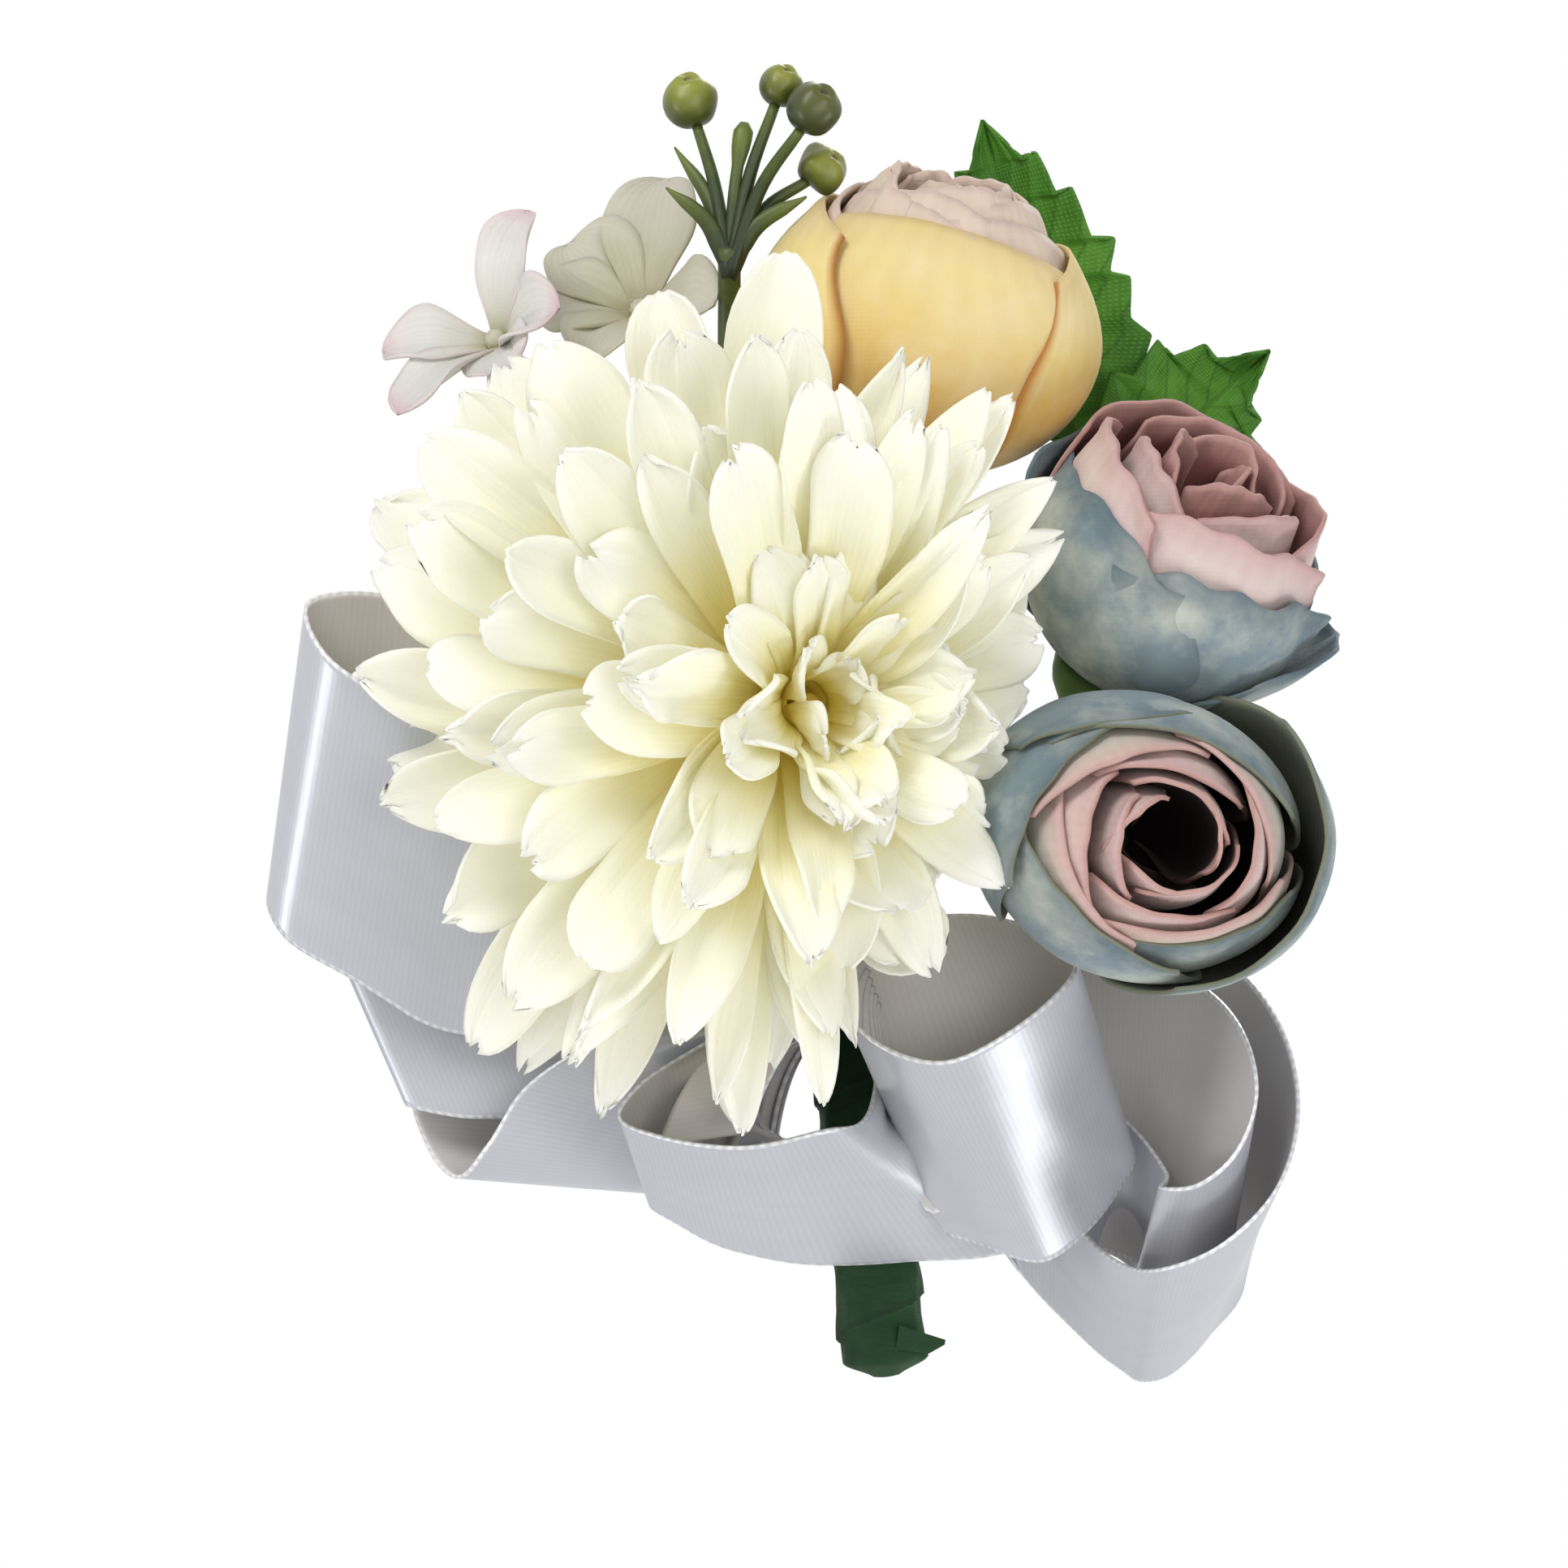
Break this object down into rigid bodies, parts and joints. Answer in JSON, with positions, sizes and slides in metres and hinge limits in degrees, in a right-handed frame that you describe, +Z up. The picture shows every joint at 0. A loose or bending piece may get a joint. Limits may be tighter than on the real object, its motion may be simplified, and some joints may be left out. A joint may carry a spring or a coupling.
{
  "type": "corsage brooch",
  "caption": "Fabric-flower corsage brooch: ivory chrysanthemum, rose buds, berries and a satin bow wired to a taped stem, worn on a locking bar pin.",
  "frame": {"origin": "centre of the pin bar's rear face, the face that lies on the garment", "axes": "+Y out of the brooch's back into the garment, -Y to the viewer, +Z up as worn, +X to the viewer's right"},
  "size_m": [0.087, 0.0557, 0.109],
  "materials": {
    "pin_steel": "bright nickel-plated",
    "floral_tape": "matt crepe tape",
    "satin_ribbon": "silky satin outside, matt inside",
    "ivory_petals": "matt die-cut cloth, yellow-green at the roots",
    "apricot_petals": "matt heat-set cloth with paler edges",
    "blue_petals": "matt heat-set cloth, tinted unevenly",
    "pink_petals": "matt heat-set cloth",
    "leaf_cloth": "coarse woven cloth with pressed veins",
    "berry": "olive, darker at the eye",
    "berry_stem": "moulded, slightly shiny",
    "blossom_petals": "thin cloth with pink tips",
    "blossom_eye": "matt",
    "dark_stem": "matt",
    "wired_stem": "plastic-coated wire",
    "calyx": "matt moulded",
    "spindle": "matt moulded"
  },
  "bodies": {
    "brooch": {"pin_bar": "pin_steel", "hinge_rivet": "pin_steel", "catch_housing": "pin_steel", "stem_wrap": "floral_tape", "ribbon_knot": "satin_ribbon", "mum_petals_1": "ivory_petals", "mum_petals_2": "ivory_petals", "mum_petals_3": "ivory_petals", "mum_petals_4": "ivory_petals", "mum_petals_5": "ivory_petals", "mum_petals_6": "ivory_petals", "mum_calyx": "calyx", "mum_spindle": "spindle", "mum_stem": "wired_stem", "yellow_rose_outer_petals": "apricot_petals", "yellow_rose_middle_petals": "apricot_petals", "yellow_rose_inner_petals": "pink_petals", "yellow_rose_heart": "pink_petals", "yellow_rose_calyx": "calyx", "yellow_rose_stem": "wired_stem", "upper_blue_rose_outer_petals": "blue_petals", "upper_blue_rose_middle_petals": "blue_petals", "upper_blue_rose_inner_petals": "pink_petals", "upper_blue_rose_heart": "pink_petals", "upper_blue_rose_calyx": "calyx", "upper_blue_rose_stem": "wired_stem", "lower_blue_rose_outer_petals": "blue_petals", "lower_blue_rose_middle_petals": "blue_petals", "lower_blue_rose_inner_petals": "pink_petals", "lower_blue_rose_heart": "pink_petals", "lower_blue_rose_calyx": "calyx", "lower_blue_rose_stem": "wired_stem", "upper_leaf": "leaf_cloth", "lower_leaf": "leaf_cloth", "leaf_stem": "wired_stem", "berry_left": "berry", "berry_top": "berry", "berry_right": "berry", "berry_low": "berry", "berry_stem": "berry_stem", "outer_blossom_petals": "blossom_petals", "outer_blossom_eye": "blossom_eye", "inner_blossom_petals": "blossom_petals", "inner_blossom_eye": "blossom_eye", "blossom_stem": "dark_stem", "ribbon_loop_right_front": "satin_ribbon", "ribbon_loop_right_middle": "satin_ribbon", "ribbon_loop_right_back": "satin_ribbon", "ribbon_front_swag": "satin_ribbon", "ribbon_strip": "satin_ribbon", "ribbon_loop_left_upper": "satin_ribbon", "ribbon_loop_left_middle": "satin_ribbon", "ribbon_loop_left_low": "satin_ribbon"},
    "needle": {"pin_needle": "pin_steel"},
    "lock": {"catch_lock": "pin_steel"}
  },
  "joints": [
    {"name": "needle_hinge", "type": "hinge", "parent": "brooch", "child": "needle", "pos_m": [-0.00132, 0.0032, 0.01374], "axis": [0.9954, 0, 0.0958], "range_deg": [0, 70]},
    {"name": "lock_turn", "type": "hinge", "parent": "brooch", "child": "lock", "pos_m": [0.00127, 0.0032, -0.01314], "axis": [-0.0958, 0, 0.9954], "range_deg": [0, 95]}
  ]
}
